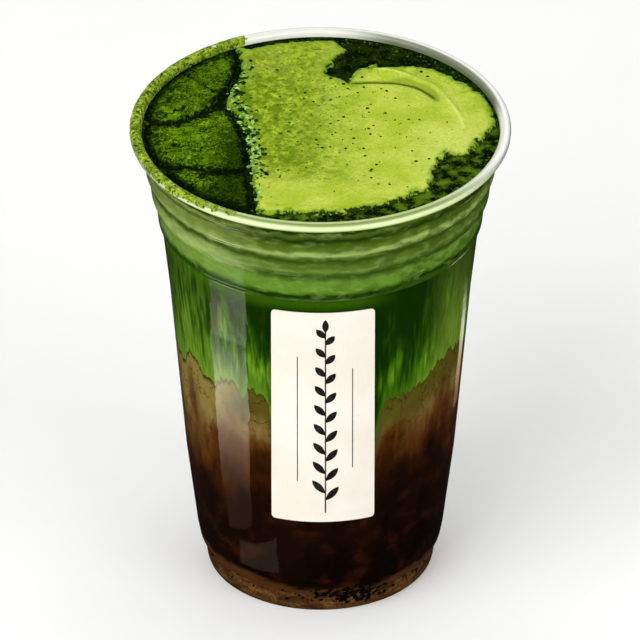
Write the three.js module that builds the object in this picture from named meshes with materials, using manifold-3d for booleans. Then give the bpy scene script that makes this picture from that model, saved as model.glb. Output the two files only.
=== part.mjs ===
// A takeaway matcha latte in its clear plastic cup. Coffee lies below the matcha, pale foam
// and three lobes of cracked green crust float on top, and a paper label is stuck to the front.
// Millimetres, +Z up, standing on z = 0 with its axis on the Z axis. The front faces -Y.
import * as THREE from 'three';
import { mergeVertices } from 'three/addons/utils/BufferGeometryUtils.js';
import Module from 'manifold-3d';

const wasm = await Module();
wasm.setup();

// Driving sizes of the cup
const rimRadius = 49;
const cupHeight = 130;
const curlRadius = 1.4;
const wall = 0.6;
const floorThickness = 0.8;
const hollowHeight = 3.5;
const hollowRadius = 24;
const footInnerRadius = 25;
const footOuterRadius = 28.3;
const footHeight = 5.5;
const bodyTopHeight = 102;

// Driving sizes of the drink
const gap = 0.35;
const dregsHeight = 6.9;
const layerGap = 0.4;
const mixMiddle = 67.5;
const drinkHeight = 128.2;
const foamThickness = 0.8;
const crustThickness = 0.85;
const toppingGap = 0.3;
const crustRadius = 44.4;
const foamBackRadius = 42.8;

// Driving sizes of the label, measured along the paper
const labelWidth = 27;
const labelBottom = 30.9;
const labelTop = 98.4;
const labelThickness = 0.3;
const labelSideShift = 0.7;

// Fineness of the round shapes and of the relief on top
const segments = 48;
const arcStep = 30;
const reliefCell = 3.2;
const labelColumns = 12;
const labelRows = 6;

const degree = Math.PI / 180;

// The outside of the wall from the foot up, as [radius, height]
const footProfile = [
  [footOuterRadius + 0.6, 0.35],
  [footOuterRadius + 1, 1.3],
  [footOuterRadius + 1.5, footHeight],
];
const bodyProfile = [
  [30.6, 6.9],
  [31.2, 8.2],
  [31.9, 12],
  [34.7, 35],
  [36.7, 58],
  [38.9, 84],
  [40.9, bodyTopHeight],
];

// Three stacking rings and the neck, each standing out further than the one below
const ringProfile = [
  [41.75, 103],
  [42.55, 110.4],
  [43.5, 111],
  [44.2, 117.3],
  [45, 118],
  [45.5, 122.9],
  [46.1, 123.5],
  [46.5, 127.2],
];
const outerWall = [...footProfile, ...bodyProfile, ...ringProfile];

// Radius of a profile at a height, by straight lines between its points
function radiusAt(profile, height) {
  let index = 0;
  while (index < profile.length - 2 && profile[index + 1][1] < height) index += 1;
  const [lowRadius, lowHeight] = profile[index];
  const [highRadius, highHeight] = profile[index + 1];
  const share = (height - lowHeight) / (highHeight - lowHeight);
  return lowRadius + share * (highRadius - lowRadius);
}

// The rolled lip, from under the curl round its outside to its inner top
const curlStart = -120;
const curlEnd = 150;

function lipProfile() {
  const points = [];
  for (let angle = curlStart; angle <= curlEnd; angle += arcStep) {
    points.push([
      rimRadius - curlRadius + curlRadius * Math.cos(angle * degree),
      cupHeight - curlRadius + curlRadius * Math.sin(angle * degree),
    ]);
  }
  return points;
}

// The inside of the wall from the channel of the foot up
const channelInnerRadius = footInnerRadius + wall;
const channelOuterRadius = footOuterRadius - 0.2;
const floorHeight = hollowHeight + floorThickness;
const innerWall = [
  [channelOuterRadius + wall, wall + 1],
  ...outerWall.slice(2).map(([radius, height]) => [radius - wall, height]),
];
const cupProfile = [
  [0, hollowHeight],
  [hollowRadius, hollowHeight],
  [footInnerRadius, 0],
  [footOuterRadius, 0],
  ...outerWall,
  ...lipProfile(),
  ...[...innerWall].reverse(),
  [channelOuterRadius, wall],
  [channelInnerRadius, wall],
  [hollowRadius + wall, floorHeight],
  [0, floorHeight],
];

function latheSolid(profile) {
  const points = profile.map(([radius, height]) => new THREE.Vector2(radius, height));
  return new THREE.LatheGeometry(points, segments).rotateX(Math.PI / 2);
}

// A closed solid of rings round the Z axis. Each row gives radius and height for an angle,
// and the first and last row are single points on the axis. The rows may run up or down.
function ringSolid(rows) {
  const runsUp = rows[0](0)[1] < rows[rows.length - 1](0)[1];
  const positions = [0, 0, rows[0](0)[1]];
  const indices = [];
  const rings = rows.slice(1, -1);
  for (const ring of rings) {
    for (let step = 0; step < segments; step += 1) {
      const angle = (step / segments) * 2 * Math.PI;
      const [radius, height] = ring(angle);
      positions.push(radius * Math.sin(angle), -radius * Math.cos(angle), height);
    }
  }
  const last = positions.length / 3;
  positions.push(0, 0, rows[rows.length - 1](0)[1]);
  const corner = (ring, step) => 1 + ring * segments + (step % segments);
  for (let step = 0; step < segments; step += 1) {
    indices.push(0, corner(0, step + 1), corner(0, step));
    for (let ring = 0; ring < rings.length - 1; ring += 1) {
      const low = corner(ring, step);
      const lowNext = corner(ring, step + 1);
      const high = corner(ring + 1, step);
      const highNext = corner(ring + 1, step + 1);
      indices.push(low, lowNext, highNext, low, highNext, high);
    }
    indices.push(last, corner(rings.length - 1, step), corner(rings.length - 1, step + 1));
  }
  const geometry = new THREE.BufferGeometry();
  geometry.setAttribute('position', new THREE.Float32BufferAttribute(positions, 3));
  geometry.setIndex(runsUp ? indices : indices.reverse());
  return geometry;
}

// A ring of the drink that follows the inside of the wall at one height
const onWall = (height) => () => [radiusAt(innerWall, height) - gap, height];

// Such rings at every height between two limits where the wall changes its slope
const alongWall = (low, high) => innerWall
  .map(([, height]) => height)
  .filter((height) => height > low && height < high)
  .map(onWall);

// How far a smooth hump of a given half width reaches at a distance from its middle
const hump = (distance, halfWidth) => Math.exp(-((distance / halfWidth) ** 2));

// Where matcha and coffee meet at the wall, as [degrees from the front, height]: torn, with
// drips that hang into the coffee, and lowest behind the label
const mixEdge = [
  [-180, 68.5], [-160, 71], [-146, 66.5], [-128, 71], [-112, 69], [-100, 66], [-88, 68.5],
  [-75, 67.5], [-68, 67.5], [-63, 72.4], [-58, 72], [-54, 68.8], [-46, 68.5], [-40, 70.5],
  [-35.5, 70.9], [-32.5, 67], [-28, 70.9], [-23, 69.5], [-21, 66.8], [-20, 62], [-12, 58.5],
  [0, 59], [14, 57], [22.9, 55.9], [23.4, 61], [25.6, 64], [27.8, 66.9], [33, 67.8], [38, 68.5],
  [46.7, 70], [53.4, 72.8], [60, 73.5], [72.7, 71.4], [85, 68], [98, 71.5], [112, 67],
  [128, 70.5], [145, 66], [160, 69.5], [180, 68.5],
];

function mixAtWall(angle) {
  const turned = angle >= Math.PI ? angle - 2 * Math.PI : angle;
  const next = mixEdge.findIndex(([degrees]) => degrees * degree > turned);
  const [fromAngle, fromHeight] = mixEdge[next - 1];
  const [toAngle, toHeight] = mixEdge[next];
  const share = (turned / degree - fromAngle) / (toAngle - fromAngle);
  return fromHeight + share * (toHeight - fromHeight);
}

// The same meeting surface inside the drink, at a share of the way out to the wall. The wall's
// own rings stop well before it on both sides.
const mixShares = [1, 0.85, 0.5];
const mixClear = 15;

function mixSurface(share, lift) {
  return (angle) => {
    const wallHeight = mixAtWall(angle);
    const height = mixMiddle + (wallHeight - mixMiddle) * share ** 3 + lift;
    return [share * (radiusAt(innerWall, wallHeight) - gap), height];
  };
}

// The settled layer fills the channel of the foot and covers the floor unevenly
const dregsShare = 0.6;
const dregsTilt = 0.5;
const dregsWave = 0.3;

function dregsTop(share, lift) {
  return (angle) => {
    const waves = dregsTilt * Math.sin(angle - 2) - dregsWave * Math.cos(2 * angle);
    const height = dregsHeight + share * waves + lift;
    return [share * (radiusAt(innerWall, height) - gap), height];
  };
}

function makeDregs() {
  const onFloor = floorHeight + gap;
  const inChannel = wall + gap;
  return ringSolid([
    () => [0, onFloor],
    () => [hollowRadius + wall + gap, onFloor],
    () => [channelInnerRadius + gap, inChannel],
    () => [channelOuterRadius - gap / 2, inChannel],
    ...alongWall(inChannel, footHeight + gap),
    dregsTop(1, -layerGap),
    dregsTop(dregsShare, -layerGap),
    () => [0, dregsHeight - layerGap],
  ]);
}

function makeCoffee() {
  return ringSolid([
    () => [0, dregsHeight],
    dregsTop(dregsShare, 0),
    dregsTop(1, 0),
    ...alongWall(dregsHeight + 1, mixMiddle - mixClear),
    ...mixShares.map((share) => mixSurface(share, 0)),
    () => [0, mixMiddle],
  ]);
}

// Its rows run down, so that its lower face is split into triangles as the coffee's top is
function makeMatcha() {
  return ringSolid([
    () => [0, drinkHeight],
    onWall(drinkHeight),
    ...alongWall(mixMiddle + mixClear, drinkHeight).reverse(),
    ...mixShares.map((share) => mixSurface(share, gap)),
    () => [0, mixMiddle + gap],
  ]);
}

// The toppings: outlines seen from above, with relief on their upper side
const slabMargin = 2;

function toManifold(geometry) {
  const bare = geometry.clone();
  bare.deleteAttribute('normal');
  bare.deleteAttribute('uv');
  const merged = mergeVertices(bare, 1e-4);
  return new wasm.Manifold(new wasm.Mesh({
    numProp: 3,
    vertProperties: new Float32Array(merged.attributes.position.array),
    triVerts: new Uint32Array(merged.index.array),
  }));
}

function fromManifold(solid) {
  const mesh = solid.getMesh();
  const geometry = new THREE.BufferGeometry();
  geometry.setAttribute('position', new THREE.Float32BufferAttribute(mesh.vertProperties, 3));
  geometry.setIndex([...mesh.triVerts]);
  return geometry;
}

// A plate over the box of an outline, flat below, its upper side given by a height function
function reliefPlate(box, bottom, topAt) {
  const countX = Math.ceil((box.max.x - box.min.x + 2 * slabMargin) / reliefCell);
  const countY = Math.ceil((box.max.y - box.min.y + 2 * slabMargin) / reliefCell);
  const geometry = new THREE.BoxGeometry(1, 1, 1, countX, countY, 1);
  const position = geometry.attributes.position;
  for (let index = 0; index < position.count; index += 1) {
    const x = box.min.x - slabMargin + (position.getX(index) + 0.5) * countX * reliefCell;
    const y = box.min.y - slabMargin + (position.getY(index) + 0.5) * countY * reliefCell;
    const z = position.getZ(index) > 0 ? topAt(x, y) : bottom;
    position.setXYZ(index, x, y, z);
  }
  return geometry;
}

function topping(outline, topAt) {
  const bottom = drinkHeight + toppingGap;
  const box = new THREE.Box2().setFromPoints(outline);
  const shape = new THREE.Shape(outline);
  const prism = new THREE.ExtrudeGeometry(shape, { depth: 2 * slabMargin, bevelEnabled: false });
  prism.translate(0, 0, bottom - slabMargin);
  const plate = toManifold(reliefPlate(box, bottom, topAt));
  return fromManifold(plate.intersect(toManifold(prism)));
}

const point = ([x, y]) => new THREE.Vector2(x, y);
const smooth = (points, steps) => new THREE.SplineCurve(points.map(point)).getPoints(steps);

// Part of a circle round the axis, between two angles counted from +X
function arc(radius, from, to) {
  const curve = new THREE.EllipseCurve(0, 0, radius, radius, from * degree, to * degree, to < from);
  return curve.getPoints(Math.ceil(Math.abs(to - from) / 8));
}

// Distance from a point to a line of points
function distanceTo(points, x, y) {
  const here = new THREE.Vector2(x, y);
  const nearest = new THREE.Vector2();
  let distance = Infinity;
  for (let index = 0; index < points.length - 1; index += 1) {
    const start = points[index];
    const along = points[index + 1].clone().sub(start);
    const share = THREE.MathUtils.clamp(here.clone().sub(start).dot(along) / along.lengthSq(), 0, 1);
    nearest.copy(start).addScaledVector(along, share);
    distance = Math.min(distance, nearest.distanceTo(here));
  }
  return distance;
}

// Small lumps that differ from place to place
function lumps(x, y, size) {
  const across = Math.sin(x / size + 1.3 * Math.sin(y / size));
  const along = Math.cos(y / size - 0.8 * Math.sin(x / size));
  return across * along;
}

// Pale foam: a broad raft with a torn edge, a swept ridge and the furrow beside it
const foamLeftEdge = [
  [-21.4, 39.4], [-20.1, 27.5], [-22.7, 18.8], [-24, 12.1], [-19.1, 2.4],
  [-18.1, -6.8], [-17.3, -17.4], [-17, -25.6], [-16, -40.6],
];
const foamFrontEdge = [
  [-4.5, -40.4], [2.6, -41.2], [10, -38.9], [18.8, -35.4], [23.8, -31], [28.4, -29.5], [28.8, -18.8],
];
const foamBayEdge = [[33, -11.2], [37.6, -12.9], [39.4, -7], [42.6, -1.6], [44.3, 2.3], [43.3, 8.6]];
const foamBackEdge = [
  [41.2, 15.6], [37.3, 19.6], [32.3, 24.8], [28.8, 28.2], [24.2, 30.1], [17.8, 29.9],
];
const foamNotch = [
  [12.5, 29.3], [15.2, 32.1], [9.7, 28.8], [6.9, 23], [0.5, 26.8], [3.3, 32.1], [6.5, 38.1],
];
const foamOutline = [
  ...smooth(foamLeftEdge, 16),
  ...foamFrontEdge.map(point),
  ...foamBayEdge.map(point),
  ...foamBackEdge.map(point),
  ...foamNotch.map(point),
  ...arc(foamBackRadius, 85, 115),
];
const ridge = [[14.5, 27.8], [19.1, 27.1], [24.8, 23.2], [30, 18.5], [35.4, 6], [36.8, 0]];
const furrow = [[8.1, 22.5], [13.1, 23.2], [19.5, 22.8], [24.8, 20.5], [29, 15.9], [31.5, 11.2]];
const ridgeLine = smooth(ridge, 10);
const furrowLine = smooth(furrow, 10);
const ridgeHeight = 0.5;
const furrowDepth = 0.55;
const ridgeWidth = 2;
const foamLump = 0.12;
const foamLumpSize = 4;

function foamTopAt(x, y) {
  const raised = ridgeHeight * hump(distanceTo(ridgeLine, x, y), ridgeWidth);
  const sunk = furrowDepth * hump(distanceTo(furrowLine, x, y), ridgeWidth);
  const uneven = foamLump * lumps(x, y, foamLumpSize);
  return drinkHeight + toppingGap + foamThickness + raised - sunk + uneven;
}

// Crust: three lobes on the left, parted by two creases, each swelling in its middle
const backCrease = [
  [-43.9, 4.4], [-40.3, 2.4], [-35, 4.9], [-29, 9.7], [-25.3, 18], [-23, 24.5], [-22.2, 33.1],
];
const middleCrease = [[-43.9, 2.4], [-40.3, 0.6], [-34.8, 3], [-29.1, 6.9], [-25.4, 9.8]];
const middleRightEdge = [[-21.6, 2.6], [-20.3, -6.8], [-19.4, -14], [-19.4, -20.4]];
const middleFrontCrease = [[-26.5, -21], [-32.2, -18.9], [-39.6, -18.2]];
const frontCrease = [[-39, -20], [-32.2, -20.5], [-26.5, -22.6], [-19.2, -22.4]];
const frontRightEdge = [[-18.8, -30.4], [-17.8, -40.4]];

const crustLobes = {
  crust_back: {
    middle: [-33, 18],
    outline: [...smooth(backCrease, 12), ...arc(crustRadius, 120, 172)],
  },
  crust_middle: {
    middle: [-32, -7],
    outline: [
      ...smooth(middleCrease, 8),
      ...middleRightEdge.map(point),
      ...smooth(middleFrontCrease, 4),
      ...arc(crustRadius, 203, 179),
    ],
  },
  crust_front: {
    middle: [-26, -29],
    outline: [...smooth(frontCrease, 6), ...frontRightEdge.map(point), ...arc(crustRadius, 245, 209)],
  },
};
const crustSwell = 0.4;
const crustSwellWidth = 13;
const crustLump = 0.2;
const crustLumpSize = 2.6;

function crustTopAt([middleX, middleY]) {
  return (x, y) => {
    const swell = crustSwell * hump(Math.hypot(x - middleX, y - middleY), crustSwellWidth);
    const uneven = crustLump * lumps(x, y, crustLumpSize);
    return drinkHeight + toppingGap + crustThickness + swell + uneven;
  };
}

// The label is a paper strip of even width, bent round the cone of the wall
function makeLabel() {
  const geometry = new THREE.BoxGeometry(1, 1, 1, labelColumns, 1, labelRows);
  const position = geometry.attributes.position;
  for (let index = 0; index < position.count; index += 1) {
    const height = labelBottom + (position.getZ(index) + 0.5) * (labelTop - labelBottom);
    const wallRadius = radiusAt(outerWall, height);
    const angle = (position.getX(index) * labelWidth + labelSideShift) / wallRadius;
    const radius = wallRadius + toppingGap + (position.getY(index) < 0 ? labelThickness : 0);
    position.setXYZ(index, radius * Math.sin(angle), -radius * Math.cos(angle), height);
  }
  return geometry;
}

const finishes = {
  clearPlastic: { color: 0xdfe8d8, roughness: 0.08, metalness: 0, transparent: true, opacity: 0.3 },
  paper: { color: 0xf6f1e4, roughness: 0.85, metalness: 0 },
  dregs: { color: 0x6b4523, roughness: 0.7, metalness: 0 },
  coffee: { color: 0x24100a, roughness: 0.25, metalness: 0 },
  matcha: { color: 0x2f5a0c, roughness: 0.3, metalness: 0 },
  foam: { color: 0xb4cc46, roughness: 0.7, metalness: 0 },
  crust: { color: 0x3a5f07, roughness: 0.8, metalness: 0 },
};

function piece(name, geometry, finish) {
  const mesh = new THREE.Mesh(geometry, new THREE.MeshStandardMaterial(finishes[finish]));
  mesh.name = name;
  return mesh;
}

const latte = new THREE.Group();
latte.add(piece('cup', latheSolid(cupProfile), 'clearPlastic'));
latte.add(piece('label', makeLabel(), 'paper'));
latte.add(piece('dregs', makeDregs(), 'dregs'));
latte.add(piece('coffee', makeCoffee(), 'coffee'));
latte.add(piece('matcha', makeMatcha(), 'matcha'));
latte.add(piece('foam', topping(foamOutline, foamTopAt), 'foam'));
for (const [name, lobe] of Object.entries(crustLobes)) {
  latte.add(piece(name, topping(lobe.outline, crustTopAt(lobe.middle)), 'crust'));
}

export default latte;
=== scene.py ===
# %% [markdown]
# # A takeaway matcha latte
# The part is a clear plastic cup, filled to the brim: coffee below, matcha above it, and on top
# pale foam beside a cracked crust of green powder. The solid model gives every size. Here each
# solid gets a finer twin with the finish of the real thing, made in the solid's own place.

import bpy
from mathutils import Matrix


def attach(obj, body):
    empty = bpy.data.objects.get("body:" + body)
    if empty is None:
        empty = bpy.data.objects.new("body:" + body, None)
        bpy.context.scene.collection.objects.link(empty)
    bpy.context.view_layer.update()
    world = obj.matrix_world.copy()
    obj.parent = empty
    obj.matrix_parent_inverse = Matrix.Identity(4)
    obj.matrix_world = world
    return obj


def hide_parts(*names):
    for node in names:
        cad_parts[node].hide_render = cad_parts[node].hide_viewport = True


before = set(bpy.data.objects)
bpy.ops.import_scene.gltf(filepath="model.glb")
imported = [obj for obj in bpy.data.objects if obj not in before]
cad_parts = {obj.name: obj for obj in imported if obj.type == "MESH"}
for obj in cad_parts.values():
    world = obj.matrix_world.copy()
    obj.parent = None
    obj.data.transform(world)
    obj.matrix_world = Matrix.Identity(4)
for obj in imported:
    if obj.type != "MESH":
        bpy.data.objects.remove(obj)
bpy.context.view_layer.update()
print("Solid model:", sorted(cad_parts))

# %% [markdown]
# ## Measures
# Blender works in metres, and a cup is easier to think about in millimetres, so MM turns one
# into the other. The wall is drawn as a profile, radius and height, the way a potter reads a
# section. It is the same profile that the solid cup has.

# %% Measures of the cup
import math
import random

import bpy
import numpy as np
from mathutils import Vector, noise

MM = 0.001
TURN = 2 * math.pi
RIM_RADIUS = 49.0
CUP_HEIGHT = 130.0
CURL_RADIUS = 1.4
WALL = 0.6
FLOOR_THICKNESS = 0.8
HOLLOW_HEIGHT = 3.5
HOLLOW_RADIUS = 24.0
FOOT_INNER = 25.0
FOOT_OUTER = 28.3
CHANNEL_RADIUS = 28.1
RINGS_START = 102.6

WALL_PROFILE = [
    (28.9, 0.35), (29.3, 1.3), (29.8, 5.5), (30.6, 6.9), (31.2, 8.2), (31.9, 12), (34.7, 35),
    (36.7, 58), (38.9, 84), (40.9, 102), (41.75, 103), (42.55, 110.4), (43.5, 111),
    (44.2, 117.3), (45, 118), (45.5, 122.9), (46.1, 123.5), (46.5, 127.2),
]
INNER_PROFILE = [(28.7, 1.6)] + [(radius - WALL, height) for radius, height in WALL_PROFILE[2:]]


def radius_at(profile, height):
    heights = [point[1] for point in profile]
    radii = [point[0] for point in profile]
    return float(np.interp(height, heights, radii))


print("Wall radius at half height:", radius_at(WALL_PROFILE, CUP_HEIGHT / 2), "mm")

# %% Measures of the drink
REACH = 0.15
DRINK_HEIGHT = 128.2
MIX_HEIGHT = 67.5
MIX_MIDDLE = 67.5
DREGS_HEIGHT = 6.9
SPIN_STEPS = 360

# The meeting of matcha and coffee at the wall, as degrees from the front and height
MIX_EDGE = [
    (-180, 68.5), (-160, 71), (-146, 66.5), (-128, 71), (-112, 69), (-100, 66), (-88, 68.5),
    (-75, 67.5), (-68, 67.5), (-63, 72.4), (-58, 72), (-54, 68.8), (-46, 68.5), (-40, 70.5),
    (-35.5, 70.9), (-32.5, 67), (-28, 70.9), (-23, 69.5), (-21, 66.8), (-20, 62), (-12, 58.5),
    (0, 59), (14, 57), (22.9, 55.9), (23.4, 61), (25.6, 64), (27.8, 66.9), (33, 67.8), (38, 68.5),
    (46.7, 70), (53.4, 72.8), (60, 73.5), (72.7, 71.4), (85, 68), (98, 71.5), (112, 67),
    (128, 70.5), (145, 66), (160, 69.5), (180, 68.5),
]
EDGE_ANGLES = [degrees for degrees, _ in MIX_EDGE]
EDGE_HEIGHTS = [height for _, height in MIX_EDGE]


def hump(distance, half_width):
    return np.exp(-((distance / half_width) ** 2))


def mix_height(angle):
    """Height of the meeting of matcha and coffee at the wall. The angle is 0 at the front."""
    around = Vector((math.sin(angle), math.cos(angle), 0.3))
    torn = 1.2 * noise.noise(around * 16) + 1.6 * noise.noise(around * 40)
    torn += 1.5 * noise.noise(around * 75)
    return float(np.interp(math.degrees(angle), EDGE_ANGLES, EDGE_HEIGHTS)) + torn


def dregs_height(angle):
    wave = 0.5 * math.sin(angle - 2) - 0.3 * math.cos(2 * angle)
    around = Vector((math.sin(angle), math.cos(angle), 0.7))
    return DREGS_HEIGHT + wave + 0.35 * noise.noise(around * 14)


print("Meeting of the drinks at the front:", round(mix_height(0), 1), "mm")

# %% [markdown]
# ## Tools for round pieces
# A cup is a turned shape, so each round piece starts as one point, is drawn out point by point
# along its section with the extrude tool, and is then spun round the axis. Corners are eased
# before the spin, which costs nothing, where a bevel on the finished cup would be slow.

# %% Modelling tools
def ease_corners(points, reach, steps=3):
    """Replaces each corner of a section by a short curve that starts at most reach away."""
    eased = [points[0]]
    for before, corner, after in zip(points, points[1:], points[2:]):
        here = Vector(corner)
        back = Vector(before) - here
        ahead = Vector(after) - here
        start = here + back.normalized() * min(reach, back.length / 2)
        end = here + ahead.normalized() * min(reach, ahead.length / 2)
        for step in range(steps + 1):
            share = step / steps
            point = start.lerp(here, share).lerp(here.lerp(end, share), share)
            eased.append(tuple(point))
    return eased + [points[-1]]


def pick(piece):
    """Selects one piece alone and makes it the active one."""
    bpy.ops.object.select_all(action="DESELECT")
    bpy.context.view_layer.objects.active = piece
    piece.select_set(True)


def edit(piece):
    pick(piece)
    bpy.ops.object.mode_set(mode="EDIT")
    bpy.ops.mesh.select_mode(type="VERT")


def leave_edit():
    bpy.ops.object.mode_set(mode="OBJECT")


def turned(name, section):
    """A closed piece, spun from a section of radius and height in millimetres."""
    bpy.ops.object.select_all(action="DESELECT")
    bpy.ops.mesh.primitive_plane_add(size=MM)
    piece = bpy.context.object
    piece.name = piece.data.name = name
    edit(piece)
    bpy.ops.mesh.select_all(action="SELECT")
    bpy.ops.mesh.merge(type="CENTER")
    points = [Vector((radius * MM, 0, height * MM)) for radius, height in section]
    bpy.ops.transform.translate(value=points[0])
    for start, end in zip(points, points[1:]):
        bpy.ops.mesh.extrude_vertices_move(TRANSFORM_OT_translate={"value": end - start})
    bpy.ops.mesh.select_all(action="SELECT")
    bpy.ops.mesh.spin(steps=SPIN_STEPS, angle=TURN, center=(0, 0, 0), axis=(0, 0, 1))
    bpy.ops.mesh.select_all(action="SELECT")
    bpy.ops.mesh.remove_doubles(threshold=0.002 * MM)
    bpy.ops.mesh.normals_make_consistent(inside=False)
    leave_edit()
    print(name, "has", len(piece.data.polygons), "faces")
    return piece


def new_grid(name, columns, rows, size=1):
    bpy.ops.object.select_all(action="DESELECT")
    bpy.ops.mesh.primitive_grid_add(x_subdivisions=columns, y_subdivisions=rows, size=size)
    piece = bpy.context.object
    piece.name = piece.data.name = name
    return piece


def cut_away(piece, unwanted):
    """Deletes the marked points, and turns the faces that stay all to one side."""
    edit(piece)
    bpy.ops.mesh.select_all(action="DESELECT")
    leave_edit()
    for vertex, marked in zip(piece.data.vertices, unwanted):
        vertex.select = bool(marked)
    edit(piece)
    bpy.ops.mesh.delete(type="VERT")
    bpy.ops.mesh.select_all(action="SELECT")
    bpy.ops.mesh.normals_make_consistent(inside=False)
    leave_edit()


def thicken(piece, thickness):
    """Gives the active sheet its thickness, behind the side that its faces look to."""
    sheet = piece.modifiers.new("sheet", "SOLIDIFY")
    sheet.thickness = thickness * MM
    sheet.offset = -1
    bpy.ops.object.modifier_apply(modifier=sheet.name)


def smooth(piece, degrees):
    pick(piece)
    bpy.ops.object.shade_smooth_by_angle(angle=math.radians(degrees))


def front_angle(point):
    """Angle of a point round the axis, 0 at the front and growing towards +X."""
    return math.atan2(point.x, -point.y)


def place(point, angle, radius, height):
    point.x = radius * MM * math.sin(angle)
    point.y = -radius * MM * math.cos(angle)
    point.z = height * MM


# %% [markdown]
# ## Tools for materials
# Materials read the Object position in millimetres, so that a pattern stays on the piece when it
# moves. Clouds of colour and fine grain are needed by several finishes, so both come from one node
# group with its own inputs. The shader itself stays in each material.

# %% Material tools
def srgb(red, green, blue):
    """A colour as it is read from a screen, 0 to 255, turned into Blender's linear values."""
    shares = [value / 255 for value in (red, green, blue)]
    linear = [share / 12.92 if share <= 0.04045 else ((share + 0.055) / 1.055) ** 2.4 for share in shares]
    return (*linear, 1.0)


class Finish:
    """A material, or a node group, with short calls for the nodes that it is built from."""

    def __init__(self, tree):
        self.tree = tree

    def add(self, kind, **values):
        node = self.tree.nodes.new(kind)
        for name, value in values.items():
            setattr(node, name, value)
        return node

    def feed(self, socket, value):
        if isinstance(value, bpy.types.NodeSocket):
            self.tree.links.new(value, socket)
        else:
            socket.default_value = value

    def math(self, operation, *values):
        node = self.add("ShaderNodeMath", operation=operation)
        for socket, value in zip(node.inputs, values):
            self.feed(socket, value)
        return node.outputs[0]

    def plus(self, first, second):
        return self.math("ADD", first, second)

    def minus(self, first, second):
        return self.math("SUBTRACT", first, second)

    def times(self, first, second):
        return self.math("MULTIPLY", first, second)

    def wave(self, mask, reach):
        """Turns a mask into a value that goes half of reach up and down."""
        return self.math("MULTIPLY_ADD", mask, reach, -reach / 2)

    def span(self, value, low, high, to_low=0, to_high=1):
        """Moves a value from one range to another, softly, without leaving the new one."""
        node = self.add("ShaderNodeMapRange", interpolation_type="SMOOTHSTEP")
        for socket, entry in zip(node.inputs, (value, low, high, to_low, to_high)):
            self.feed(socket, entry)
        return node.outputs[0]

    def blend(self, share, first, second):
        node = self.add("ShaderNodeMix", data_type="RGBA")
        self.feed(node.inputs[0], share)
        self.feed(node.inputs[6], first)
        self.feed(node.inputs[7], second)
        return node.outputs[2]

    def coats(self, colours, *coats):
        """Lays coats over colours. A coat is its mask, and then red, green and blue."""
        for mask, *colour in coats:
            colours = self.blend(mask, colours, srgb(*colour))
        return colours

    def ramp(self, value, low, reach, stops):
        """Colours along a value, from low on. A stop is its place, and then its colour."""
        node = self.add("ShaderNodeValToRGB")
        stripes = node.color_ramp.elements
        while len(stripes) < len(stops):
            stripes.new(0.5)
        for stripe, (at, *colour) in zip(stripes, stops):
            stripe.position = (at - low) / reach
            stripe.color = srgb(*colour)
        self.feed(node.inputs[0], self.math("DIVIDE", self.minus(value, low), reach))
        return node.outputs[0]

    def attribute(self, name):
        return self.add("ShaderNodeAttribute", attribute_name=name).outputs["Fac"]

    def position(self):
        """Object position in millimetres."""
        coordinates = self.add("ShaderNodeTexCoord")
        scale = self.add("ShaderNodeVectorMath", operation="SCALE")
        self.feed(scale.inputs[0], coordinates.outputs["Object"])
        scale.inputs["Scale"].default_value = 1 / MM
        return scale.outputs[0]

    def parts(self, vector):
        node = self.add("ShaderNodeSeparateXYZ")
        self.feed(node.inputs[0], vector)
        return node.outputs

    def from_axis(self):
        """Distance from the cup's middle line."""
        across, away, _ = self.parts(self.place)
        return self.math("SQRT", self.plus(self.times(across, across), self.times(away, away)))

    def clouds(self, size, low, high, tall=1, seed=0):
        """A soft mask of patches. Low and high set how much is covered, and how sharply."""
        node = self.add("ShaderNodeGroup", node_tree=CLOUDS)
        for socket, value in zip(node.inputs, (self.place, size, tall, low, high, seed)):
            self.feed(socket, value)
        return node.outputs[0]

    def bump(self, height, depth):
        """Turns a height from 0 to 1 into a bumped normal, depth in millimetres."""
        node = self.add("ShaderNodeBump")
        node.inputs["Distance"].default_value = depth * MM
        self.feed(node.inputs["Height"], height)
        return node.outputs[0]


def new_material(name):
    material = bpy.data.materials.new(name)
    material.use_nodes = True
    finish = Finish(material.node_tree)
    finish.place = finish.position()
    return material, finish, material.node_tree.nodes["Principled BSDF"].inputs


def dress(finish, shader, colours, roughness, shine, relief, depth):
    finish.feed(shader["Base Color"], colours)
    finish.feed(shader["Roughness"], roughness)
    shader["Specular IOR Level"].default_value = shine
    finish.feed(shader["Normal"], finish.bump(relief, depth))


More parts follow.
